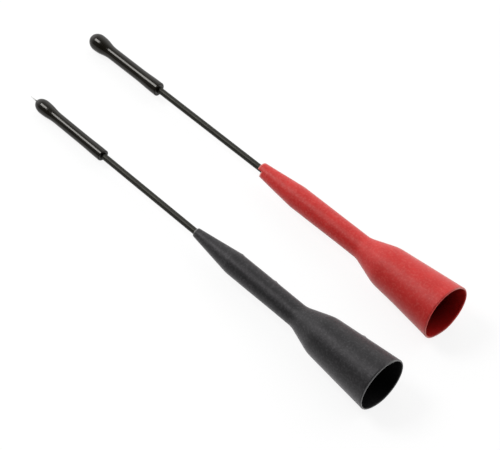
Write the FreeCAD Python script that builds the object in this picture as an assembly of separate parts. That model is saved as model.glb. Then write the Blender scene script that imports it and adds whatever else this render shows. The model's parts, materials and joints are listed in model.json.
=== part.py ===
"""A pair of extended fine-point tip adapters for test probes, one black and one red, lying side by side.

Each adapter slips over the nose of a test probe.  A flared elastomer boot carries a slotted brass socket
that grips the probe's 2 mm tip, with a spring ring round its fingers.  A ground steel needle is soldered
into the front of the socket and runs forward in an insulating sleeve, and a dipped vinyl cap is pushed
over its point for storage.

Every piece is turned in its adapter's own frame, in millimetres: x = 0 is the plane of the boot's open
mouth, +x points out of the mouth, and the needle points along -x.  A distance below is measured from
the mouth towards the needle's point.  The adapters then lie on z = 0, each resting on the rim of its
mouth and on the bulb of its cap.
"""

import FreeCAD, Part
import os
from math import asin, cos, degrees, sin, sqrt, tan

from FreeCAD import Placement, Rotation, Vector

# Socket: turned brass, slotted at the back for the probe's tip, barbed to hold in the boot
probe_tip_diameter = 2.0
probe_tip_clearance = 0.02
socket_diameter = 3.5
socket_length = 20.0
socket_web = 1.4                  # solid brass between the probe's bore and the needle's hole
socket_lead_in = 0.3
socket_nose_chamfer = 0.6
slot_pairs = 2
slot_width = 0.32
slot_length = 9.0
barb_height = 0.22
barb_length = 1.3
barb_count = 2
barb_pitch = 2.6
barb_setback = 2.2                # from the socket's front face back to the first barb

# Spring ring: closes the socket's fingers on the probe
ring_width = 1.2
ring_thickness = 0.32
ring_gap = 0.7
ring_setback = 1.6                # from the socket's open end to the ring's groove
ring_clearance = 0.02

# Needle and its sleeve
needle_diameter = 1.0
needle_in_socket = 4.4
needle_fit_clearance = 0.01
needle_exposed = 8.3              # in front of the sleeve
needle_bare_shank = 1.5           # still of full diameter, in front of the sleeve
needle_point_diameter = 0.04
sleeve_wall = 0.24
sleeve_clearance = 0.01
sleeve_exposed = 47.5             # in front of the boot

# Boot: the flared moulding
mouth_diameter = 13.0
mouth_wall = 0.8
mouth_rim_chamfer = 0.2           # on both edges of the rim
mouth_cone_length = 17.7
shoulder_diameter = 9.75
shoulder_wall = 0.9
shoulder_length = 6.7
shoulder_blend = 10.0
tube_wall = 0.95                  # round the socket
neck_blend = 6.0
socket_recess = 0.3               # from the neck to the socket's open end
nose_length = 11.8
grip_clearance = 0.01             # the boot's bore round the socket and the sleeve
black_nose_wall = 0.37
red_nose_wall = 0.89
red_nose_trim = 0.55              # cut off the nose's end

# Torn rim of the red boot's nose; angles run about the axis, from +z towards -y
tear_depth = 0.15                 # on the axis
tear_slant = 32.0
tear_slant_angle = 55.0
tear_edge_angle = 43.0

# Caps: dipped vinyl, with a rolled bead at the open end and a drip bulb at the closed one
cap_clearance = 0.03
cap_rim_chamfer = 0.15
cap_bead_width = 1.2
cap_bead_fade = 2.6               # over which the bead runs down to the body
cap_pierce_clearance = 0.02
cap_lip_height = 0.5              # of vinyl drawn out by a point that has come through
cap_lip_root = 0.15
cap_lip_base_diameter = 1.0
cap_lip_wall = 0.06
cap_bulb_solid = 3.2              # solid vinyl between the end of the bore and the cap's tip
cap_swell_length = 5.2            # over which the body swells out to the bulb
black_cap_wall = 0.56
black_cap_bead = 0.08
black_cap_overlap = 16.85         # length of sleeve inside the cap
black_cap_air = 2.95              # between the sleeve's front end and the end of the bore
black_bulb_swell = 0.37
black_bulb_nose = 2.55
red_cap_wall = 0.7
red_cap_bead = 0.16
red_cap_overlap = 14.65
red_cap_air = 5.35
red_bulb_swell = 0.58
red_bulb_nose = 2.5

# How the pair lies on the table
pair_spacing = 22.8               # between the mouths
pair_closing = 0.59               # angle by which the two come together towards their caps
red_setback = 2.75                # how far the red mouth lies behind the black one

# Sizes that follow from those above
socket_r = socket_diameter / 2
sleeve_bore_r = needle_diameter / 2 + sleeve_clearance
sleeve_r = sleeve_bore_r + sleeve_wall
boot_bore_r = socket_r + grip_clearance
mouth_r = mouth_diameter / 2
shoulder_r = shoulder_diameter / 2
mouth_cone_slope = (mouth_r - shoulder_r) / mouth_cone_length
mouth_edge_r = mouth_r - mouth_cone_slope * mouth_rim_chamfer
neck_distance = mouth_cone_length + shoulder_length
socket_back = neck_distance + socket_recess
socket_front = socket_back + socket_length
boot_end = socket_front + nose_length
sleeve_front = boot_end + sleeve_exposed
needle_point = sleeve_front + needle_exposed

ALONG = Vector(1, 0, 0)
ORIGIN = Vector(0, 0, 0)


class Adapter:
    """The sizes in which one adapter differs from the other, and how it lies on the table."""

    def __init__(self, nose_wall, nose_trim, cap_wall, cap_bead, cap_overlap, cap_air, bulb_swell, bulb_nose,
                 mouth_place, turn):
        self.nose_r = sleeve_r + nose_wall
        self.nose_end = boot_end - nose_trim
        self.cap_bore_r = sleeve_r + cap_clearance
        self.cap_r = self.cap_bore_r + cap_wall
        self.bead_r = self.cap_r + cap_bead
        self.bulb_r = self.cap_r + bulb_swell
        self.bulb_nose = bulb_nose
        self.cap_rim = sleeve_front - cap_overlap
        self.bore_end = sleeve_front + cap_air
        self.cap_tip = self.bore_end + cap_bulb_solid
        self.bulb_centre = self.cap_tip - bulb_nose
        self.mouth_place = mouth_place
        self.turn = turn

    def mouth_height(self, tilt):
        """Height of the mouth's centre when its rim touches the table at this tilt."""
        return mouth_rim_chamfer * sin(tilt) + mouth_edge_r * cos(tilt)

    def tilt(self):
        """Angle of the axis, in radians, at which the mouth's rim and the cap's bulb both touch the table."""
        tilt = 0
        for _ in range(20):
            bulb_height = sqrt((self.bulb_nose * sin(tilt)) ** 2 + (self.bulb_r * cos(tilt)) ** 2)
            tilt = asin((self.mouth_height(tilt) - bulb_height) / self.bulb_centre)
        return tilt

    def placement(self):
        tilt = self.tilt()
        x, y = self.mouth_place
        lying = Rotation(Vector(0, 0, 1), self.turn) * Rotation(Vector(0, 1, 0), -degrees(tilt))
        return Placement(Vector(x, y, self.mouth_height(tilt)), lying)


ADAPTERS = {
    "black": Adapter(
        nose_wall=black_nose_wall,
        nose_trim=0,
        cap_wall=black_cap_wall,
        cap_bead=black_cap_bead,
        cap_overlap=black_cap_overlap,
        cap_air=black_cap_air,
        bulb_swell=black_bulb_swell,
        bulb_nose=black_bulb_nose,
        mouth_place=(0, 0),
        turn=-pair_closing / 2,
    ),
    "red": Adapter(
        nose_wall=red_nose_wall,
        nose_trim=red_nose_trim,
        cap_wall=red_cap_wall,
        cap_bead=red_cap_bead,
        cap_overlap=red_cap_overlap,
        cap_air=red_cap_air,
        bulb_swell=red_bulb_swell,
        bulb_nose=red_bulb_nose,
        mouth_place=(-red_setback, pair_spacing),
        turn=pair_closing / 2,
    ),
}


def at(distance, radius):
    """Point of a profile in the xz plane, at a distance from the mouth."""
    return Vector(-distance, 0, radius)


def line(start, end):
    return Part.LineSegment(start, end).toShape()


def blended_wire(corners):
    """Closed wire through (distance, radius, blend radius) corners, with a tangent arc at each blend."""
    points = [at(distance, radius) for distance, radius, _ in corners]
    arcs = []
    ends = []
    for i, (_, _, blend) in enumerate(corners):
        corner = points[i]
        if blend == 0:
            ends.append((corner, corner))
            continue
        back = (points[i - 1] - corner).normalize()
        ahead = (points[(i + 1) % len(points)] - corner).normalize()
        half_angle = back.getAngle(ahead) / 2
        start = corner + back * (blend / tan(half_angle))
        end = corner + ahead * (blend / tan(half_angle))
        middle = corner + (back + ahead).normalize() * (blend / sin(half_angle) - blend)
        arcs.append(Part.Arc(start, middle, end).toShape())
        ends.append((start, end))
    runs = [line(ends[i - 1][1], ends[i][0]) for i in range(len(ends))]
    return Part.Wire(Part.__sortEdges__(runs + arcs))


def revolved(wire):
    return Part.Face(wire).revolve(ORIGIN, ALONG, 360)


def turned(corners):
    """Solid of revolution about the axis from (distance, radius, blend radius) corners."""
    return revolved(blended_wire(corners))


def cylinder(radius, near, far):
    """Cylinder on the axis between two distances from the mouth."""
    return Part.makeCylinder(radius, far - near, at(far, 0), ALONG)


def socket_form(clearance):
    """Outer form of the socket with its barbs, grown by a clearance."""
    r = socket_r + clearance
    near = socket_back - clearance
    far = socket_front + clearance
    form = turned([
        (far, 0, 0),
        (far, r - socket_nose_chamfer, 0),
        (far - socket_nose_chamfer, r, 0),
        (near, r, 0),
        (near, 0, 0),
    ])
    for i in range(barb_count):
        tip = socket_front - barb_setback - i * barb_pitch
        barb = [(tip, 0, 0), (tip, r, 0), (tip - barb_length, r + barb_height, 0), (tip - barb_length, 0, 0)]
        form = form.fuse(turned(barb))
    return form.removeSplitter()


def needle_r(distance):
    """Radius of the needle where it is ground to a point."""
    share = (needle_point - distance) / (needle_exposed - needle_bare_shank)
    return (needle_point_diameter + (needle_diameter - needle_point_diameter) * share) / 2


def needle_form(clearance):
    """The ground needle, grown by a clearance."""
    r = needle_diameter / 2 + clearance
    near = socket_front - needle_in_socket
    return turned([
        (needle_point + clearance, 0, 0),
        (needle_point + clearance, needle_point_diameter / 2 + clearance, 0),
        (sleeve_front + needle_bare_shank, r, 0),
        (near, r, 0),
        (near, 0, 0),
    ])


def make_boot(adapter):
    outer = [
        (adapter.nose_end, 0, 0),
        (adapter.nose_end, adapter.nose_r, 0),
        (socket_front, boot_bore_r + tube_wall, 0),
        (neck_distance, boot_bore_r + tube_wall, neck_blend),
        (mouth_cone_length, shoulder_r, shoulder_blend),
        (mouth_rim_chamfer, mouth_edge_r, 0),
        (0, mouth_r - mouth_rim_chamfer, 0),
        (0, 0, 0),
    ]
    inner_mouth_r = mouth_r - mouth_wall
    inner_shoulder_r = shoulder_r - shoulder_wall
    inner_slope = (inner_mouth_r - inner_shoulder_r) / mouth_cone_length
    cavity = [
        (socket_back, 0, 0),
        (socket_back, boot_bore_r, 0),
        (neck_distance, boot_bore_r, 0),
        (mouth_cone_length, inner_shoulder_r, 0),
        (mouth_rim_chamfer, inner_mouth_r - inner_slope * mouth_rim_chamfer, 0),
        (0, inner_mouth_r + mouth_rim_chamfer, 0),
        (0, 0, 0),
    ]
    sleeve_seat = cylinder(sleeve_r + grip_clearance, socket_front, boot_end)
    return turned(outer).cut(turned(cavity)).cut(socket_form(grip_clearance)).cut(sleeve_seat)


def torn_away(nose_end):
    """What is missing from the rim of the red boot's nose: a slanted bite with one steep edge."""
    size = 2 * mouth_diameter
    beyond = Part.makeBox(size, size, size, Vector(-size, -size / 2, -size / 2))
    beyond.rotate(ORIGIN, Vector(0, 1, 0), tear_slant)
    beyond.translate(at(nose_end - tear_depth, 0))
    beyond.rotate(ORIGIN, ALONG, tear_slant_angle)
    side = Part.makeBox(2 * size, size, size, Vector(-nose_end - size, -size, -size / 2))
    side.rotate(ORIGIN, ALONG, tear_edge_angle)
    return beyond.common(side)


def make_socket():
    bore_r = probe_tip_diameter / 2 + probe_tip_clearance
    bore_depth = socket_length - socket_web - needle_in_socket
    lead_in_end = at(socket_back + socket_lead_in, 0)
    lead_in = Part.makeCone(bore_r, bore_r + socket_lead_in, socket_lead_in, lead_in_end, ALONG)
    socket = socket_form(0).cut(cylinder(bore_r, socket_back, socket_back + bore_depth)).cut(lead_in)
    needle_hole_r = needle_diameter / 2 + needle_fit_clearance
    socket = socket.cut(cylinder(needle_hole_r, socket_front - needle_in_socket, socket_front))
    for i in range(slot_pairs):
        slot = Part.makeBox(slot_length, slot_width, 2 * socket_diameter)
        slot.translate(Vector(-socket_back - slot_length, -slot_width / 2, -socket_diameter))
        slot.rotate(ORIGIN, ALONG, (i + 0.5) * 180 / slot_pairs)
        socket = socket.cut(slot)
    groove_near = socket_back + ring_setback
    groove = cylinder(socket_diameter, groove_near, groove_near + ring_width)
    return socket.cut(groove.cut(cylinder(socket_r - ring_thickness, groove_near, groove_near + ring_width)))


def make_spring_ring():
    """C-shaped ring of flat spring steel in the groove round the socket's fingers."""
    near = socket_back + ring_setback + ring_clearance
    far = near + ring_width - 2 * ring_clearance
    ring = cylinder(socket_r, near, far).cut(cylinder(socket_r - ring_thickness + ring_clearance, near, far))
    gap = Part.makeBox(far - near, ring_gap, socket_diameter, Vector(-far, -ring_gap / 2, 0))
    return ring.cut(gap)


def make_sleeve():
    outer = cylinder(sleeve_r, socket_front, sleeve_front)
    return outer.cut(cylinder(sleeve_bore_r, socket_front, sleeve_front))


def eased(start_distance, start_r, end_distance, end_r):
    """Profile curve that leaves and arrives parallel to the axis."""
    middle = (start_distance + end_distance) / 2
    start_poles = [at(start_distance, start_r), at(middle, start_r)]
    end_poles = [at(middle, end_r), at(end_distance, end_r)]
    curve = Part.BezierCurve()
    curve.setPoles(start_poles + end_poles)
    return curve.toShape()


def quarter_ellipse(centre, along, across):
    """Profile curve of a rounded end, from its widest point forward to the axis."""
    curve = Part.BezierCurve()
    curve.setPoles([at(centre, across), at(centre + along, across), at(centre + along, 0)])
    curve.setWeight(2, sqrt(0.5))
    return curve.toShape()


def pierced_lip(cap_tip):
    """Cone of vinyl that the needle's point has drawn out of a cap's tip."""
    end = cap_tip + cap_lip_height
    end_r = needle_r(end) + cap_pierce_clearance + cap_lip_wall
    return Part.makeCone(end_r, cap_lip_base_diameter / 2, cap_lip_height + cap_lip_root, at(end, 0), ALONG)


def make_cap(adapter):
    rim = adapter.cap_rim
    bead_near = rim + cap_rim_chamfer
    bead_far = rim + cap_bead_width
    body_near = bead_far + cap_bead_fade
    swell_near = adapter.bulb_centre - cap_swell_length
    profile = [
        line(at(adapter.cap_tip, 0), at(rim, 0)),
        line(at(rim, 0), at(rim, adapter.bead_r - cap_rim_chamfer)),
        line(at(rim, adapter.bead_r - cap_rim_chamfer), at(bead_near, adapter.bead_r)),
        line(at(bead_near, adapter.bead_r), at(bead_far, adapter.bead_r)),
        line(at(bead_far, adapter.bead_r), at(body_near, adapter.cap_r)),
        line(at(body_near, adapter.cap_r), at(swell_near, adapter.cap_r)),
        eased(swell_near, adapter.cap_r, adapter.bulb_centre, adapter.bulb_r),
        quarter_ellipse(adapter.bulb_centre, adapter.bulb_nose, adapter.bulb_r),
    ]
    cap = revolved(Part.Wire(Part.__sortEdges__(profile)))
    if needle_point > adapter.cap_tip:
        cap = cap.fuse(pierced_lip(adapter.cap_tip))
    bore = turned([
        (adapter.bore_end, 0, 0),
        (adapter.bore_end, adapter.cap_bore_r / 2, 0),
        (adapter.bore_end - adapter.cap_bore_r / 2, adapter.cap_bore_r, 0),
        (rim, adapter.cap_bore_r, 0),
        (rim, 0, 0),
    ])
    return cap.cut(bore).cut(needle_form(cap_pierce_clearance))


def adapter_pieces(colour):
    adapter = ADAPTERS[colour]
    boot = make_boot(adapter)
    if colour == "red":
        boot = boot.cut(torn_away(adapter.nose_end))
    return {
        "boot": boot,
        "probe_socket": make_socket(),
        "spring_ring": make_spring_ring(),
        "needle": needle_form(0),
        "sleeve": make_sleeve(),
        "tip_cap": make_cap(adapter),
    }


def lay_out_pair():
    """All pieces by name, resting on z = 0 with the pair centred over the origin."""
    pieces = {}
    for colour, adapter in ADAPTERS.items():
        lying = adapter.placement().toMatrix()
        for name, shape in adapter_pieces(colour).items():
            pieces[f"{colour}_{name}"] = shape.transformed(lying)
    centre = Part.makeCompound(list(pieces.values())).optimalBoundingBox(False).Center
    shift = Vector(-centre.x, -centre.y, 0)
    return {name: shape.translated(shift) for name, shape in pieces.items()}


os.makedirs("parts", exist_ok=True)
for name, shape in lay_out_pair().items():
    shape.exportStep(f"parts/{name}.step")
    print(f"{name:20s} valid {shape.isValid()}  solids {len(shape.Solids)}  volume {shape.Volume:8.2f} mm3")
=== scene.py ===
"""Looks of the pair of test probe tip adapters, black and red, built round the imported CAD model.

The boots, caps, sleeves and needles are turned again here as fine meshes with soft edges, in the place
and at the size of the CAD nodes that they replace.  The brass sockets and their spring rings stay CAD
nodes and only get materials.  Lengths named here are millimetres; the scene itself is in metres.

Each piece is made in its adapter's own frame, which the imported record's mount at the boot's mouth gives:
distances run from the mouth towards the needle's point, and angles about the axis run from the top
towards -Y.
"""

import json
import math

import bmesh
import bpy
from mathutils import Matrix, Vector, noise


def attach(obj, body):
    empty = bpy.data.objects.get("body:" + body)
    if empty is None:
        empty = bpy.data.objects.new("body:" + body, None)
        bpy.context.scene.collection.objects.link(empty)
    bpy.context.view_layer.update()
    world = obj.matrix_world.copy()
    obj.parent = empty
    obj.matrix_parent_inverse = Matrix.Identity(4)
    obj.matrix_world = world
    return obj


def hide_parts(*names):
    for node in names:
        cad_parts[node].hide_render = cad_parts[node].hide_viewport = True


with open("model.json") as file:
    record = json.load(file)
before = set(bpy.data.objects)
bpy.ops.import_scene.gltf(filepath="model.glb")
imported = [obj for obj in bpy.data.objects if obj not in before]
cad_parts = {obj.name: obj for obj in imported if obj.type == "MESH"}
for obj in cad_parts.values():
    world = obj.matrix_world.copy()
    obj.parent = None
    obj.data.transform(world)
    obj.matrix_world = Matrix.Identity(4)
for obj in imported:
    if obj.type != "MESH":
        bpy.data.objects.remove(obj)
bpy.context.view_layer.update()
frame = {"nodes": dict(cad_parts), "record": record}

MM = 0.001

# Meshes
STEP = 0.35                       # length of the faces along a straight run
CORNER_STEP = math.radians(11)    # turn of one face round a corner, and the fewest faces there
CORNER_LEAST = 4
BOOT_SEGMENTS = 144
CAP_SEGMENTS = 96
SLEEVE_SEGMENTS = 64
NEEDLE_SEGMENTS = 48
SHARP_FROM = math.radians(50)     # edges that turn by more than this stay sharp

# Boot, the same in both adapters but for its nose
MOUTH_R = 6.5
MOUTH_WALL = 0.8
RIM_ROUND = 0.25
RIM_EDGE = RIM_ROUND / 4          # what lies this near to the mouth's plane is the rim's edge
SHOULDER_AT = 17.7
SHOULDER_R = 4.875
SHOULDER_WALL = 0.9
SHOULDER_ROUND = 10.0
NECK_AT = 24.4
NECK_ROUND = 6.0
TUBE_R = 2.71
BORE_R = 1.76
THROAT_ROUND = 1.2
SOCKET_FRONT = 44.7
SEAT_CHAMFER = 0.6
NOSE_ROUND = 10.0
NOSE_EDGE_ROUND = 0.07
NOSE_HOLE_ROUND = 0.05
BARB_HEIGHT = 0.22
BARB_LENGTH = 1.3
BARB_TIPS = (39.9, 42.5)

# Sleeve and needle
SLEEVE_R = 0.75
SLEEVE_BORE_R = 0.51
SLEEVE_FRONT = 104.0
SLEEVE_INNER_ROUND = 0.06
SLEEVE_OUTER_ROUND = 0.08
SLEEVE_GAP = 0.01                 # between the sleeve and the hole in the boot's nose
NEEDLE_R = 0.5
NEEDLE_BACK = 40.3
NEEDLE_TAPER_AT = 105.5
NEEDLE_TAPER_ROUND = 6.0
NEEDLE_POINT = 112.3
NEEDLE_POINT_R = 0.02             # radius and height of its blunt tip

# Caps
CAP_BORE_R = 0.78
CAP_BORE_RIM_ROUND = 0.1
CAP_BORE_END_ANGLE = math.radians(10)     # where the bore's round end starts beside its middle
CAP_RIM_ROUND = 0.25
BEAD_WIDTH = 0.5
BEAD_FADE = 7.0
BULB_SOLID = 3.2
BULB_POINTS = 20
SWELL_LENGTH = 5.2
SLANT_ANGLE = math.radians(117)   # the rims aren't quite square, and lean to this side
RIM_SLANT_REACH = 2.5             # the stretch of cap that follows its slanted rim

# Lip of vinyl drawn out round a point that has pierced the bulb
LIP_HEIGHT = 0.35
LIP_R = 0.18
LIP_POINTS = 8
LIP_FOOT = 3                      # radius of its foot, and of what its side is drawn to, in lip radii
LIP_MIDDLE = 1.3
LIP_EDGE = (0.03, 0.05)           # its slanted edge, along and across
LIP_HOLLOW = 0.2                  # depth of the hollow inside it

# Uneven skin of the boots
UNEVENNESS = 0.025                # the most that it rises or sinks
UNEVEN_ALONG = 0.12               # units of noise in a millimetre along the boot
UNEVEN_ROUND = 1.2                # radius, in those units, of the circle round it
UNEVEN_FROM = 3.0                 # it grows from nothing at the mouth to this distance
SKIN_OVER_BORE = 0.5              # what lies this far outside a bore is the skin
SKIN_OVER_SLEEVE = 0.1

# Flash marks
NUB_LENGTH = 0.35
NUB_WIDTH = 0.3
NUB_DEPTH = 0.2                   # how deep in the tube's wall its points still move with them

# The mouth's opening isn't quite round, the near side of the red rim is cut back and its side flares
OPENING_REACH = 12.0
OPENING_SIDE = math.radians(-63)
CUT_BACK_REACH = 3.0
CUT_BACK_SIDE = math.radians(28)
FLARE_REACH = 11.0
FLARE_SIDE = math.radians(117)
FLARE_WIDTH = math.radians(110)

# Flat that the table presses on the mouth's rim
FLAT_FROM = math.radians(128)
FLAT_TO = math.radians(182)
FLAT_DEPTH = 0.14
FLAT_REACH = 0.7

# Torn rim of the red boot's nose
TEAR_DEPTH = 0.15
TEAR_SLOPE = math.tan(math.radians(32))
TEAR_DEEPEST = math.radians(55)
TEAR_EDGE = math.radians(43)
TEAR_REACH = 4.0                  # the stretch of nose over which the mesh is drawn back

# Painted highlights on the mouth's rim and the nose's end, and painted shade that darkens the inside of
# the mouths
HIGHLIGHT_REACH = 0.25                 # width of the painted highlight line, at the rim and at the nose's end
HIGHLIGHT_PLACES = (-48, 112, 146)     # degrees round the mouth where the painted highlight is brightest
HIGHLIGHT_WIDTH = math.radians(26)
HIGHLIGHT_LEAST = 0.15                 # how bright the painted highlight is elsewhere round the rim
SHADE_FROM = 0.3                   # how much painted shade darkens the inside at the rim, and where it is at its darkest
SHADE_AT = 6.0

# Each adapter's own sizes.  A nub is (distance, degrees, height).  An opening is wider by (all round,
# as an oval, to the side that is cut back).  soft_rows are the outer rows of faces at the rim that take
# the inside's material.
COLOURS = {
    "black": {
        "seed": 0, "nose_at": 56.5, "nose_r": 1.12, "torn": False,
        "nubs": ((9.9, -63, 0.16), (33.9, -63, 0.12), (44.2, -63, 0.1)),
        "opening": (0.19, 0.24, -0.15), "cut_back": 0.0, "flare": 0.0, "soft_rows": 0,
        "cap_r": 1.34, "bead": 0.08, "rim_at": 87.15, "bore_end": 106.95, "swell": 0.37, "bulb": 2.55,
        "rim_slant": 0.14, "pierced": True,
    },
    "red": {
        "seed": 50, "nose_at": 55.95, "nose_r": 1.64, "torn": True,
        "nubs": (),
        "opening": (0.18, 0.20, 0.0), "cut_back": 0.4, "flare": 0.34, "soft_rows": 8,
        "cap_r": 1.48, "bead": 0.16, "rim_at": 89.35, "bore_end": 109.35, "swell": 0.58, "bulb": 2.5,
        "rim_slant": -0.14, "pierced": False,
    },
}


class Lie:
    """An adapter's own frame in the scene."""

    def __init__(self, colour):
        mount = next(m for m in frame["record"]["mounts"] if m["name"] == f"{colour}_boot_mouth")
        self.mouth = Vector(mount["pos_m"])
        self.axis = Vector(mount["axis"]).normalized()
        self.near = self.axis.cross(Vector((0, 0, 1))).normalized()
        self.top = self.near.cross(self.axis)

    def point(self, distance, radius, angle):
        """The scene's point for a place in this frame."""
        out = self.top * math.cos(angle) + self.near * math.sin(angle)
        return self.mouth + (out * radius - self.axis * distance) * MM


# Profiles: lists of (distance, radius)

def run(start, end):
    """Points from start up to, but without, end."""
    count = max(1, round(math.dist(start, end) / STEP))
    return [tuple(a + (b - a) * i / count for a, b in zip(start, end)) for i in range(count)]


def arc(centre, radius, start_angle, end_angle, count):
    """Points of an arc, both ends included; angles in radians from the direction of growing distance."""
    angles = [start_angle + (end_angle - start_angle) * i / count for i in range(count + 1)]
    return [(centre[0] + radius * math.cos(a), centre[1] + radius * math.sin(a)) for a in angles]


def rounded(corners, closed):
    """Profile through (distance, radius, round) corners, each corner rounded to its radius."""
    pieces = []
    last = len(corners) - 1
    for i, (x, y, size) in enumerate(corners):
        corner = Vector((x, y))
        if size == 0 or not closed and i in (0, last):
            pieces.append([(x, y)])
            continue
        back = (Vector(corners[i - 1][:2]) - corner).normalized()
        ahead = (Vector(corners[(i + 1) % len(corners)][:2]) - corner).normalized()
        half = back.angle(ahead) / 2
        centre = corner + (back + ahead).normalized() * (size / math.sin(half))
        start = corner + back * (size / math.tan(half)) - centre
        turn = start.angle_signed(corner + ahead * (size / math.tan(half)) - centre)
        first = math.atan2(start.y, start.x)
        steps = max(CORNER_LEAST, round(abs(turn) / CORNER_STEP))
        pieces.append(arc(centre, size, first, first - turn, steps))
    profile = []
    for i, piece in enumerate(pieces):
        profile += piece[:-1]
        if closed or i < last:
            profile += run(piece[-1], pieces[(i + 1) % len(pieces)][0])
        else:
            profile.append(piece[-1])
    return profile


def eased(start, end, count):
    """Points of an S-curve that leaves and arrives parallel to the axis, without its end."""
    points = []
    for i in range(count):
        t = i / count
        points.append((start[0] + (end[0] - start[0]) * (1.5 * t * (1 - t) + t ** 3),
                       start[1] + (end[1] - start[1]) * (3 * t ** 2 - 2 * t ** 3)))
    return points


def drawn(start, middle, end, count):
    """Points of a curve from start to end that is drawn towards middle, without its start."""
    points = []
    for i in range(1, count + 1):
        t = i / count
        points.append(tuple(a * (1 - t) ** 2 + b * 2 * t * (1 - t) + c * t ** 2
                            for a, b, c in zip(start, middle, end)))
    return points


# Meshes

def linked(mesh, name):
    """The bmesh as an object in the scene."""
    data = bpy.data.meshes.new(name)
    mesh.to_mesh(data)
    mesh.free()
    piece = bpy.data.objects.new(name, data)
    bpy.context.scene.collection.objects.link(piece)
    return piece


def turned(name, lie, profile, segments, closed=False, shift=None, marks=None):
    """Surface of revolution as an object; shift(distance, radius, angle) may move its points.

    Its faces are made row by row along the profile.  marks gives names to numbers that materials can
    read, each from a function of (distance, radius, angle, row)."""
    mesh = bmesh.new()
    layers = [(mesh.verts.layers.float.new(key), amount) for key, amount in (marks or {}).items()]
    rings = []
    for row, (distance, radius) in enumerate(profile):
        if radius == 0:
            rings.append([mesh.verts.new(lie.point(distance, 0, 0))] * segments)
            continue
        ring = []
        for i in range(segments):
            angle = 2 * math.pi * i / segments
            d, r = shift(distance, radius, angle) if shift else (distance, radius)
            vertex = mesh.verts.new(lie.point(d, r, angle))
            for layer, amount in layers:
                vertex[layer] = amount(distance, radius, angle, row)
            ring.append(vertex)
        rings.append(ring)
    pairs = list(zip(rings, rings[1:]))
    if closed:
        pairs.append((rings[-1], rings[0]))
    for one, two in pairs:
        for i in range(segments):
            j = (i + 1) % segments
            corners = list(dict.fromkeys((one[i], one[j], two[j], two[i])))
            mesh.faces.new(corners)
    bmesh.ops.recalc_face_normals(mesh, faces=mesh.faces)
    piece = linked(mesh, name)
    piece.data.shade_smooth()
    piece.data.set_sharp_from_angle(angle=SHARP_FROM)
    return piece


def place(piece, material, body, node):
    """Gives a piece its material, hangs it on the body that it rides on, and hides the CAD node that it
    replaces.
    """
    piece.data.materials.append(material)
    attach(piece, body)
    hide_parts(node)


def turn_between(angle, other):
    """Angle from one to the other, from -pi to pi."""
    return (angle - other + math.pi) % (2 * math.pi) - math.pi


def tear_limit(nose_at, radius, angle):
    """How far from the mouth the red boot's nose reaches at this place of its rim."""
    if 0 < (angle - TEAR_EDGE) % (2 * math.pi) < math.pi:
        return min(nose_at, nose_at - TEAR_DEPTH - radius * math.cos(angle - TEAR_DEEPEST) * TEAR_SLOPE)
    return nose_at


def boot_shift(colour):
    """Moves a boot's points: its uneven skin and flash marks, the mouth's own shape and a torn nose."""
    sizes = COLOURS[colour]
    nose_at = sizes["nose_at"]
    all_round, oval, aside = sizes["opening"]
    seed = Vector((0, 0, sizes["seed"]))

    def skin(distance, radius, angle):
        """What the uneven skin and the flash marks add to the radius."""
        over_sleeve = distance > SOCKET_FRONT and radius > SLEEVE_R + SKIN_OVER_SLEEVE
        if radius <= BORE_R + SKIN_OVER_BORE and not over_sleeve:
            return 0
        circle = (math.cos(angle) * UNEVEN_ROUND, math.sin(angle) * UNEVEN_ROUND)
        spot = Vector((distance * UNEVEN_ALONG, *circle)) + seed
        added = UNEVENNESS * noise.noise(spot) * min(1, distance / UNEVEN_FROM)
        if radius > TUBE_R - NUB_DEPTH:
            for at, side, height in sizes["nubs"]:
                along = (distance - at) / NUB_LENGTH
                across = turn_between(angle, math.radians(side)) * radius / NUB_WIDTH
                added += height * math.exp(-along ** 2 - across ** 2)
        return added

    def mouth(distance, radius, angle):
        """What the rim's flat, the opening's own shape and the flare add to the radius."""
        added = 0
        if radius > MOUTH_R - MOUTH_WALL / 2 and distance < FLAT_REACH and FLAT_FROM < angle < FLAT_TO:
            around = math.sin(math.pi * (angle - FLAT_FROM) / (FLAT_TO - FLAT_FROM))
            added -= FLAT_DEPTH * around * (1 - distance / FLAT_REACH)
        outer_r = MOUTH_R - (MOUTH_R - SHOULDER_R) * distance / SHOULDER_AT
        if radius < outer_r - MOUTH_WALL / 2 and distance < OPENING_REACH:
            wider = all_round + oval * math.cos(2 * (angle - OPENING_SIDE))
            wider += aside * math.cos(angle - CUT_BACK_SIDE)
            added += wider * min(1, (outer_r - radius) / MOUTH_WALL) * (1 - distance / OPENING_REACH)
        beside = abs(turn_between(angle, FLARE_SIDE)) / FLARE_WIDTH
        if distance < FLARE_REACH and beside < 0.5:
            added += sizes["flare"] * (1 - distance / FLARE_REACH) * math.cos(math.pi * beside) ** 2
        return added

    def ends(distance, radius, angle):
        """What the cut-back rim and the torn nose add to the distance."""
        cut = sizes["cut_back"] * ((1 + math.cos(angle - CUT_BACK_SIDE)) / 2) ** 2
        added = cut * max(0, 1 - distance / CUT_BACK_REACH)
        if sizes["torn"] and distance > nose_at - TEAR_REACH:
            torn = nose_at - tear_limit(nose_at, radius, angle)
            added -= torn * (distance - nose_at + TEAR_REACH) / TEAR_REACH
        return added

    def shift(*point):
        distance, radius, angle = point
        return distance + ends(*point), radius + skin(*point) + mouth(*point)

    return shift


def cap_shift(colour):
    """Moves a cap's points, as its rim isn't quite square."""
    sizes = COLOURS[colour]
    rim = sizes["rim_at"]

    def shift(distance, radius, angle):
        slant = sizes["rim_slant"] * math.cos(angle - SLANT_ANGLE) * radius / sizes["cap_r"]
        return distance + slant * max(0, 1 - (distance - rim) / RIM_SLANT_REACH), radius

    return shift


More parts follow.
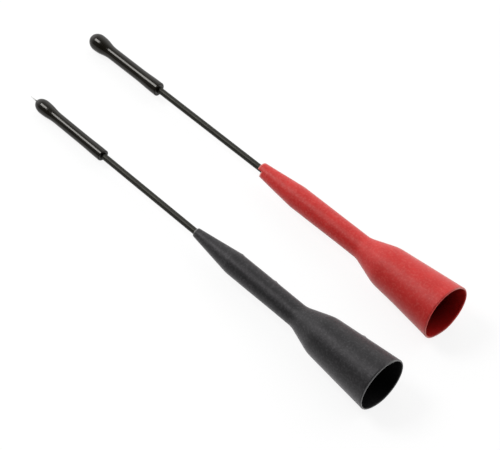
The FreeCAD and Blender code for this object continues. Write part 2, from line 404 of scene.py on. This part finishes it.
def make_boot(colour, lie, material, inner_material):
    sizes = COLOURS[colour]
    outer = [
        (sizes["nose_at"], SLEEVE_R + SLEEVE_GAP, NOSE_HOLE_ROUND),
        (sizes["nose_at"], sizes["nose_r"], NOSE_EDGE_ROUND),
        (SOCKET_FRONT, TUBE_R, NOSE_ROUND),
        (NECK_AT, TUBE_R, NECK_ROUND),
        (SHOULDER_AT, SHOULDER_R, SHOULDER_ROUND),
        (0, MOUTH_R, RIM_ROUND),
    ]
    inner = [
        (0, MOUTH_R - MOUTH_WALL, RIM_ROUND),
        (SHOULDER_AT, SHOULDER_R - SHOULDER_WALL, SHOULDER_ROUND),
        (NECK_AT, BORE_R, THROAT_ROUND),
    ]
    for tip in BARB_TIPS:
        back = tip - BARB_LENGTH
        inner += [(back, BORE_R, 0), (back, BORE_R + BARB_HEIGHT, 0), (tip, BORE_R, 0)]
    inner += [
        (SOCKET_FRONT - SEAT_CHAMFER, BORE_R, 0),
        (SOCKET_FRONT, BORE_R - SEAT_CHAMFER, 0),
        (SOCKET_FRONT, SLEEVE_R + SLEEVE_GAP, 0),
    ]
    profile = rounded(outer + inner, closed=True)
    edge = [row for row, (d, r) in enumerate(profile) if d < RIM_EDGE and r > MOUTH_R - MOUTH_WALL]
    inside = edge[-1]             # the rows after this one are the inside's

    # Painted highlight: a light line round the mouth's rim, brightest where light catches it, and one at
    # the nose's end
    def painted_highlight(distance, radius, angle, row):
        turns = [turn_between(angle, math.radians(at)) / HIGHLIGHT_WIDTH for at in HIGHLIGHT_PLACES]
        highlight_spots = sum(math.exp(-turn ** 2) for turn in turns)
        at_mouth = max(0, 1 - distance / HIGHLIGHT_REACH) * min(1, HIGHLIGHT_LEAST + highlight_spots)
        return max(at_mouth, 1 - (sizes["nose_at"] - distance) / HIGHLIGHT_REACH)

    # Painted shade: it darkens the inside of the mouth, partly at the rim and fully further in
    def painted_shade(distance, radius, angle, row):
        return SHADE_FROM + (1 - SHADE_FROM) * min(1, distance / SHADE_AT) if row > inside else 0

    boot = turned(f"{colour}_boot_shell", lie, profile, BOOT_SEGMENTS, closed=True,
                  shift=boot_shift(colour), marks={"painted_highlight": painted_highlight, "painted_shade": painted_shade})
    place(boot, material, f"{colour}_adapter", f"{colour}_boot")
    boot.data.materials.append(inner_material)
    for face in boot.data.polygons:
        row = face.index // BOOT_SEGMENTS
        face.material_index = int(row > inside - sizes["soft_rows"])


def make_sleeve(colour, lie, material):
    profile = rounded([
        (SLEEVE_FRONT, SLEEVE_BORE_R, SLEEVE_INNER_ROUND),
        (SLEEVE_FRONT, SLEEVE_R, SLEEVE_OUTER_ROUND),
        (SOCKET_FRONT, SLEEVE_R, 0),
        (SOCKET_FRONT, SLEEVE_BORE_R, 0),
    ], closed=True)
    sleeve = turned(f"{colour}_sleeve_tube", lie, profile, SLEEVE_SEGMENTS, closed=True)
    place(sleeve, material, f"{colour}_adapter", f"{colour}_sleeve")


def make_needle(colour, lie, material):
    profile = rounded([
        (NEEDLE_POINT, 0, 0),
        (NEEDLE_POINT - NEEDLE_POINT_R, NEEDLE_POINT_R, 0),
        (NEEDLE_TAPER_AT, NEEDLE_R, NEEDLE_TAPER_ROUND),
        (NEEDLE_BACK, NEEDLE_R, 0),
        (NEEDLE_BACK, 0, 0),
    ], closed=False)
    needle = turned(f"{colour}_needle_rod", lie, profile, NEEDLE_SEGMENTS)
    place(needle, material, f"{colour}_adapter", f"{colour}_needle")


def make_cap(colour, lie, material):
    sizes = COLOURS[colour]
    cap_r = sizes["cap_r"]
    bead_r = cap_r + sizes["bead"]
    bulb_r = cap_r + sizes["swell"]
    rim = sizes["rim_at"]
    inner_rim = rim + CAP_BORE_RIM_ROUND
    outer_rim = rim + CAP_RIM_ROUND
    bead_end = rim + BEAD_WIDTH
    bore_round_at = sizes["bore_end"] - CAP_BORE_R
    tip = sizes["bore_end"] + BULB_SOLID
    bulb_at = tip - sizes["bulb"]
    swell_at = bulb_at - SWELL_LENGTH
    quarter = math.pi / 2
    profile = [(sizes["bore_end"], 0)]
    profile += arc((bore_round_at, 0), CAP_BORE_R, CAP_BORE_END_ANGLE, quarter, count=8)
    profile += run((bore_round_at, CAP_BORE_R), (inner_rim, CAP_BORE_R))[1:]
    rim_centre = (inner_rim, CAP_BORE_R + CAP_BORE_RIM_ROUND)
    profile += arc(rim_centre, CAP_BORE_RIM_ROUND, -quarter, -math.pi, count=4)
    profile += arc((outer_rim, bead_r - CAP_RIM_ROUND), CAP_RIM_ROUND, math.pi, quarter, count=6)
    profile += run((outer_rim, bead_r), (bead_end, bead_r))[1:]
    profile += eased((bead_end, bead_r), (bead_end + BEAD_FADE, cap_r), count=10)
    profile += run((bead_end + BEAD_FADE, cap_r), (swell_at, cap_r))
    profile += eased((swell_at, cap_r), (bulb_at, bulb_r), count=18)
    for i in range(BULB_POINTS):
        a = quarter * i / BULB_POINTS
        if not sizes["pierced"] or bulb_r * math.cos(a) > LIP_FOOT * LIP_R:
            profile.append((bulb_at + sizes["bulb"] * math.sin(a), bulb_r * math.cos(a)))
    if sizes["pierced"]:
        lip_end = tip + LIP_HEIGHT
        profile += drawn(profile[-1], (tip, LIP_R * LIP_MIDDLE), (lip_end, LIP_R), LIP_POINTS)
        profile.append((lip_end - LIP_EDGE[0], LIP_R - LIP_EDGE[1]))
        tip = lip_end - LIP_HOLLOW
    profile.append((tip, 0))
    cap = turned(f"{colour}_cap_skin", lie, profile, CAP_SEGMENTS, shift=cap_shift(colour))
    place(cap, material, f"{colour}_cap", f"{colour}_tip_cap")


# Materials.  Colours are red, green, blue and opacity; pairs are the two ends of a range.

FULL = (0, 1)
NOISE_MIDDLE = (0.35, 0.65)       # the values of a noise that are drawn out to the full range
NOISE_ROUGHNESS = 0.6

# Rubber of the boots; its dust film and its flecks are seen where their patterns have these values
CLOUD_SIZE = 2.2
FILM_SIZE = 0.5
FILM_VALUES = (0.48, 0.70)
FILM_MOST = 0.5
FLECK_SPACING = 1.6
FLECK_VALUES = (0.03, 0.055)
FLECK_MOST = 0.7
HIGHLIGHT_MOST = 0.7
GLOSS_SIZE = 0.8
GLOSS_VALUES = (0.3, 0.7)
RUBBER_ROUGHNESS = (0.44, 0.56)
BLOOM_ROUGHNESS = 0.38            # the pale bloom on the rubber is the shader's sheen
RUBBER_GRAIN = {"size_mm": 0.3, "detail": 4, "depth_mm": 0.026, "strength": 0.8}
# edge is the colour of the painted highlight on the rims and the nose's end, and shade that of the painted
# shade inside the mouths
RUBBER = {
    "black_elastomer": {
        "dark": (0.004, 0.004, 0.0042, 1), "light": (0.007, 0.0068, 0.007, 1),
        "dust": (0.055, 0.053, 0.056, 1), "edge": (0.34, 0.34, 0.33, 1), "shade": (0.0, 0.0, 0.0, 1),
        "tint": (1, 0.965, 1, 1), "specular": 0.31, "bloom": 0.38,
    },
    "red_elastomer": {
        "dark": (0.51, 0.011, 0.009, 1), "light": (0.57, 0.017, 0.014, 1),
        "dust": (0.63, 0.092, 0.080, 1), "edge": (0.86, 0.42, 0.38, 1), "shade": (0.02, 0.0, 0.0, 1),
        "tint": (1, 0.975, 0.93, 1), "specular": 0.31, "bloom": 0.38,
    },
    # Copies for the mouths' insides, without sheen and with less gloss; the black copy's colours are
    # darker than the outside's, as painted shade, and the red copy is a lighter, purer red
    "black_elastomer_inside": {
        "dark": (0.003, 0.003, 0.003, 1), "light": (0.005, 0.005, 0.005, 1),
        "dust": (0.012, 0.012, 0.012, 1), "edge": (0.34, 0.34, 0.33, 1), "shade": (0.0, 0.0, 0.0, 1),
        "tint": (1, 0.965, 1, 1), "specular": 0.16, "bloom": 0.0,
    },
    "red_elastomer_inside": {
        "dark": (0.64, 0.010, 0.008, 1), "light": (0.70, 0.015, 0.012, 1),
        "dust": (0.68, 0.04, 0.035, 1), "edge": (0.86, 0.42, 0.38, 1), "shade": (0.02, 0.0, 0.0, 1),
        "tint": (1, 0.975, 0.93, 1), "specular": 0.06, "bloom": 0.0,
    },
}

# Dipped vinyl of the caps
VINYL_DARK = (0.005, 0.0040, 0.0025, 1)
VINYL_LIGHT = (0.008, 0.0065, 0.004, 1)
VINYL_TINT = (1, 0.975, 0.93, 1)
VINYL_SPECULAR = 0.29
VINYL_ALONG = 3                   # its patterns are drawn out along the caps by this factor
VINYL_CLOUD_SIZE = 1.5
SMUDGE_SIZE = 0.9
SMUDGE_VALUES = (0.4, 0.7)
VINYL_ROUGHNESS = (0.12, 0.2)
VINYL_WAVES = {"size_mm": 2.5, "detail": 1, "depth_mm": 0.006, "strength": 0.3}

# Heat-shrunk tubing of the sleeves
TUBING_DARK = (0.004, 0.0036, 0.002, 1)
TUBING_LIGHT = (0.007, 0.0065, 0.004, 1)
TUBING_TINT = (1, 0.98, 0.88, 1)
TUBING_SPECULAR = 0.33
TUBING_ROUGHNESS = (0.43, 0.51)
STREAK_SIZE = 0.3
STREAK_ALONG = 12
TUBING_GRAIN_ALONG = 3
TUBING_GRAIN = {"size_mm": 0.2, "detail": 2, "depth_mm": 0.005, "strength": 0.4}

# Bare metals; their tool marks run along the axis where along is above 1 and round it where below
TOOLING_DEPTH = 0.004
TOOLING_STRENGTH = 0.6
TOOLING_ROUGHNESS = 0.08          # how much the tool marks change the roughness, up and down
METALS = {
    "ground_steel": {
        "dark": (0.17, 0.17, 0.165, 1), "light": (0.28, 0.28, 0.27, 1),
        "roughness": 0.28, "marks_mm": 0.12, "along": 6,
    },
    "spring_steel": {
        "dark": (0.38, 0.38, 0.40, 1), "light": (0.55, 0.55, 0.57, 1),
        "roughness": 0.3, "marks_mm": 0.15, "along": 1,
    },
    "turned_brass": {
        "dark": (0.62, 0.43, 0.17, 1), "light": (0.80, 0.62, 0.30, 1),
        "roughness": 0.25, "marks_mm": 0.5, "along": 0.2,
    },
}

# Places of the sockets on a node that mixes two colours, which have no names of their own
MIX_SHARE, MIX_FIRST, MIX_SECOND, MIX_RESULT = 0, 6, 7, 2


def put(owner, socket, value):
    """Links another node's output to the socket, or sets any other value on it."""
    if isinstance(value, bpy.types.NodeSocket):
        owner.node_tree.links.new(value, socket)
    else:
        socket.default_value = value


def add(owner, kind, inputs=None, **settings):
    """Adds a node to a material or world, with these inputs and settings."""
    node = owner.node_tree.nodes.new(kind)
    for key, value in settings.items():
        setattr(node, key, value)
    for key, value in (inputs or {}).items():
        put(owner, node.inputs[key], value)
    return node


def blank(name):
    """New material with a shader that is linked to its output."""
    material = bpy.data.materials.new(name)
    material.use_nodes = True
    return material


def shaded(material, inputs):
    """The material, after its shader has been given these inputs."""
    shader = material.node_tree.nodes["Principled BSDF"]
    for key, value in inputs.items():
        put(material, shader.inputs[key], value)
    return material


def maths(owner, operation, *values):
    """What this operation makes of the values."""
    return add(owner, "ShaderNodeMath", dict(enumerate(values)), operation=operation).outputs[0]


def stretched(material, along=1.0):
    """Object coordinates, drawn out along the adapters by this factor."""
    spot = add(material, "ShaderNodeTexCoord").outputs["Object"]
    inputs = {"Vector": spot, "Scale": (1 / along, 1, 1)}
    return add(material, "ShaderNodeMapping", inputs).outputs["Vector"]


def speckle(material, spot, size_mm, detail):
    """Noise with features of about this size, 0 to 1."""
    inputs = {"Vector": spot, "Scale": 1 / (size_mm * MM), "Detail": detail}
    inputs["Roughness"] = NOISE_ROUGHNESS
    return add(material, "ShaderNodeTexNoise", inputs).outputs["Fac"]


def spread(material, value, old, new):
    """Maps a value from one range to another, held within it."""
    inputs = {"Value": value, "From Min": old[0], "From Max": old[1], "To Min": new[0], "To Max": new[1]}
    return add(material, "ShaderNodeMapRange", inputs).outputs["Result"]


def patches(material, spot, size_mm, detail):
    """Soft patches of about this size, 0 to 1."""
    return spread(material, speckle(material, spot, size_mm, detail), NOISE_MIDDLE, FULL)


def mixed(material, share, first, second):
    """The first colour, turned into the second by this share."""
    inputs = {MIX_SHARE: share, MIX_FIRST: first, MIX_SECOND: second}
    return add(material, "ShaderNodeMix", inputs, data_type="RGBA").outputs[MIX_RESULT]


def bumped(material, height, depth_mm, strength):
    """Normal of a surface with this relief."""
    inputs = {"Height": height, "Distance": depth_mm * MM, "Strength": strength}
    return add(material, "ShaderNodeBump", inputs).outputs["Normal"]


def grained(material, spot, size_mm, detail, depth_mm, strength):
    """Normal of a surface with grains of about this size."""
    return bumped(material, speckle(material, spot, size_mm, detail), depth_mm, strength)


def mark(material, name):
    """The number that a mesh carries under this name."""
    return add(material, "ShaderNodeAttribute", attribute_name=name).outputs["Fac"]


def elastomer(name, dark, light, dust, edge, shade, tint, specular, bloom):
    """Moulded rubber: cloudy, grained and a little dusty, with a bloom, painted rim highlights and painted
    shade inside.
    """
    material = blank(name)
    spot = stretched(material)
    colour = mixed(material, patches(material, spot, CLOUD_SIZE, detail=4), dark, light)
    film = spread(material, speckle(material, spot, FILM_SIZE, detail=6), FILM_VALUES, (0, FILM_MOST))
    colour = mixed(material, film, colour, dust)
    cells = add(material, "ShaderNodeTexVoronoi", {"Vector": spot, "Scale": 1 / (FLECK_SPACING * MM)})
    fleck = spread(material, cells.outputs["Distance"], FLECK_VALUES, (FLECK_MOST, 0))
    colour = mixed(material, fleck, colour, dust)
    # Painted highlight on the rims and the nose's end: the colour turns towards edge along the mark
    painted_highlight = spread(material, mark(material, "painted_highlight"), FULL, (0, HIGHLIGHT_MOST))
    colour = mixed(material, painted_highlight, colour, edge)
    # Painted shade inside the mouth: the colour turns towards shade, and the inside is made rough
    painted_shade = mark(material, "painted_shade")
    gloss = speckle(material, spot, GLOSS_SIZE, detail=4)
    dulled = maths(material, "MAXIMUM", painted_shade, spread(material, gloss, GLOSS_VALUES, RUBBER_ROUGHNESS))
    return shaded(material, {
        "Base Color": mixed(material, painted_shade, colour, shade), "Roughness": dulled,
        "Specular IOR Level": specular, "Specular Tint": tint,
        "Sheen Weight": bloom, "Sheen Roughness": BLOOM_ROUGHNESS, "Sheen Tint": tint,
        "Normal": grained(material, spot, **RUBBER_GRAIN),
    })


def vinyl():
    """Glossy dipped vinyl, a little wavy, with faint smudges."""
    material = blank("dipped_vinyl")
    spot = stretched(material, VINYL_ALONG)
    cloud = patches(material, spot, VINYL_CLOUD_SIZE, detail=2)
    smudge = speckle(material, spot, SMUDGE_SIZE, detail=4)
    return shaded(material, {
        "Base Color": mixed(material, cloud, VINYL_DARK, VINYL_LIGHT),
        "Roughness": spread(material, smudge, SMUDGE_VALUES, VINYL_ROUGHNESS),
        "Specular IOR Level": VINYL_SPECULAR, "Specular Tint": VINYL_TINT,
        "Normal": grained(material, spot, **VINYL_WAVES),
    })


def tubing():
    """Matt heat-shrunk tubing with faint streaks along it."""
    material = blank("matt_tubing")
    streak = patches(material, stretched(material, STREAK_ALONG), STREAK_SIZE, detail=3)
    return shaded(material, {
        "Base Color": mixed(material, streak, TUBING_DARK, TUBING_LIGHT),
        "Roughness": spread(material, streak, FULL, TUBING_ROUGHNESS),
        "Specular IOR Level": TUBING_SPECULAR, "Specular Tint": TUBING_TINT,
        "Normal": grained(material, stretched(material, TUBING_GRAIN_ALONG), **TUBING_GRAIN),
    })


def metal(name, dark, light, roughness, marks_mm, along):
    """Bare metal with tool marks."""
    material = blank(name)
    tooling = patches(material, stretched(material, along), marks_mm, detail=3)
    least, most = roughness - TOOLING_ROUGHNESS, roughness + TOOLING_ROUGHNESS
    return shaded(material, {
        "Base Color": mixed(material, tooling, dark, light),
        "Roughness": spread(material, tooling, FULL, (least, most)),
        "Normal": bumped(material, tooling, TOOLING_DEPTH, TOOLING_STRENGTH),
        "Metallic": 1,
    })


def make_adapters():
    rubber = {name: elastomer(name, **looks) for name, looks in RUBBER.items()}
    cap_vinyl = vinyl()
    sleeve_tubing = tubing()
    metals = {name: metal(name, **looks) for name, looks in METALS.items()}
    kept_nodes = {"probe_socket": metals["turned_brass"], "spring_ring": metals["spring_steel"]}
    for colour in COLOURS:
        lie = Lie(colour)
        make_boot(colour, lie, rubber[f"{colour}_elastomer"], rubber[f"{colour}_elastomer_inside"])
        make_sleeve(colour, lie, sleeve_tubing)
        make_needle(colour, lie, metals["ground_steel"])
        make_cap(colour, lie, cap_vinyl)
        for node, material in kept_nodes.items():
            data = frame["nodes"][f"{colour}_{node}"].data
            data.materials.clear()
            data.materials.append(material)


# Studio

WHITE = (1, 1, 1, 1)
FLOOR_SIZE = 4.0
FLOOR_COLOUR = 0.86
FLOOR_SEEN_COLOUR = 0.16          # its colour where the camera sees it, and what is added there
FLOOR_SEEN_GLOW = 0.86
FLOOR_ROUGHNESS = 0.9
FLOOR_SPECULAR = 0.1
LOBE_POWER = 6
LOBES = (                         # soft patches of light all round: azimuth, elevation and level of each
    (45, 15, 0.46), (90, 15, 1.58), (135, 15, 0.80), (180, 15, 1.80), (225, 15, 0.22), (315, 15, 0.14),
    (60, 50, 0.60), (120, 50, 0.50), (300, 50, 0.07),
)
LAMP_DIRECTION = (-0.59, -0.225, 0.776)
LAMP_ALONG = (-0.82, 0.19, -0.54)         # the way that its first side runs
LAMP_SIZE = (0.25, 0.32)
LAMP_DISTANCE = 0.8
LAMP_LEVEL = 0.50                 # how bright the lamp alone makes white paper that faces it
LOOK_AT = Vector((5.797, 0.658, 0)) * MM
CAMERA_DISTANCE = 0.5
CAMERA_AZIMUTH = -44.356
CAMERA_ELEVATION = 54.788
CAMERA_LENS = 162.074
CAMERA_SENSOR = 36
CAMERA_CLIP = (0.01, 20)


def toward(azimuth, elevation):
    """Direction at these degrees, the azimuth from +X towards +Y and the elevation from the floor."""
    a, e = math.radians(azimuth), math.radians(elevation)
    return Vector((math.cos(a) * math.cos(e), math.sin(a) * math.cos(e), math.sin(e)))


def seen_directly(owner, strength):
    """The strength for rays of the camera, gloss and transmission, and 0 for the rest."""
    rays = add(owner, "ShaderNodeLightPath").outputs
    either = maths(owner, "MAXIMUM", rays["Is Camera Ray"], rays["Is Glossy Ray"])
    any_ray = maths(owner, "MAXIMUM", either, rays["Is Transmission Ray"])
    return maths(owner, "MULTIPLY", any_ray, strength)


def make_floor():
    """Pale floor that keeps soft shadows; what the camera and gloss see of it is lifted to white."""
    mesh = bmesh.new()
    bmesh.ops.create_grid(mesh, x_segments=1, y_segments=1, size=FLOOR_SIZE / 2)
    floor = linked(mesh, "floor")
    material = blank("floor_paper")
    greys = [(level, level, level, 1) for level in (FLOOR_COLOUR, FLOOR_SEEN_COLOUR)]
    floor.data.materials.append(shaded(material, {
        "Base Color": mixed(material, seen_directly(material, 1), *greys),
        "Roughness": FLOOR_ROUGHNESS, "Specular IOR Level": FLOOR_SPECULAR,
        "Emission Color": WHITE, "Emission Strength": seen_directly(material, FLOOR_SEEN_GLOW),
    }))


def make_world():
    """Soft patches of light, the brightest low behind the object; to the camera all is plain white."""
    world = bpy.data.worlds.new("studio")
    bpy.context.scene.world = world
    world.use_nodes = True
    ray = add(world, "ShaderNodeTexCoord").outputs["Generated"]
    light = 0.0
    for azimuth, elevation, level in LOBES:
        inputs = {0: ray, 1: toward(azimuth, elevation)}
        near = add(world, "ShaderNodeVectorMath", inputs, operation="DOT_PRODUCT").outputs["Value"]
        lobe = maths(world, "POWER", maths(world, "MAXIMUM", near, 0.0), LOBE_POWER)
        light = maths(world, "MULTIPLY_ADD", lobe, level, light)
    camera = add(world, "ShaderNodeLightPath").outputs["Is Camera Ray"]
    background = world.node_tree.nodes["Background"].inputs
    put(world, background["Color"], WHITE)
    put(world, background["Strength"], maths(world, "MAXIMUM", light, camera))


def make_lamp():
    """Softbox above and beyond the caps' end; it gives the caps their long highlight."""
    light = bpy.data.lights.new("softbox", "AREA")
    light.shape = "RECTANGLE"
    light.size, light.size_y = LAMP_SIZE
    light.energy = LAMP_LEVEL * (math.pi * LAMP_DISTANCE) ** 2
    lamp = bpy.data.objects.new("softbox", light)
    bpy.context.scene.collection.objects.link(lamp)
    away = Vector(LAMP_DIRECTION).normalized()
    lamp.location = LOOK_AT + away * LAMP_DISTANCE
    lamp.rotation_mode = "QUATERNION"
    across = away.cross(Vector(LAMP_ALONG)).normalized()
    lamp.rotation_quaternion = Matrix((across.cross(away), across, away)).transposed().to_quaternion()


def make_camera():
    camera = bpy.data.objects.new("camera", bpy.data.cameras.new("camera"))
    bpy.context.scene.collection.objects.link(camera)
    back = toward(CAMERA_AZIMUTH, CAMERA_ELEVATION)
    camera.location = LOOK_AT + back * CAMERA_DISTANCE
    camera.rotation_mode = "QUATERNION"
    camera.rotation_quaternion = back.to_track_quat("Z", "Y")
    camera.data.lens = CAMERA_LENS
    camera.data.sensor_width = CAMERA_SENSOR
    camera.data.clip_start, camera.data.clip_end = CAMERA_CLIP
    bpy.context.scene.camera = camera


make_adapters()
make_floor()
make_world()
make_lamp()
make_camera()
bpy.context.scene.view_settings.view_transform = "Standard"
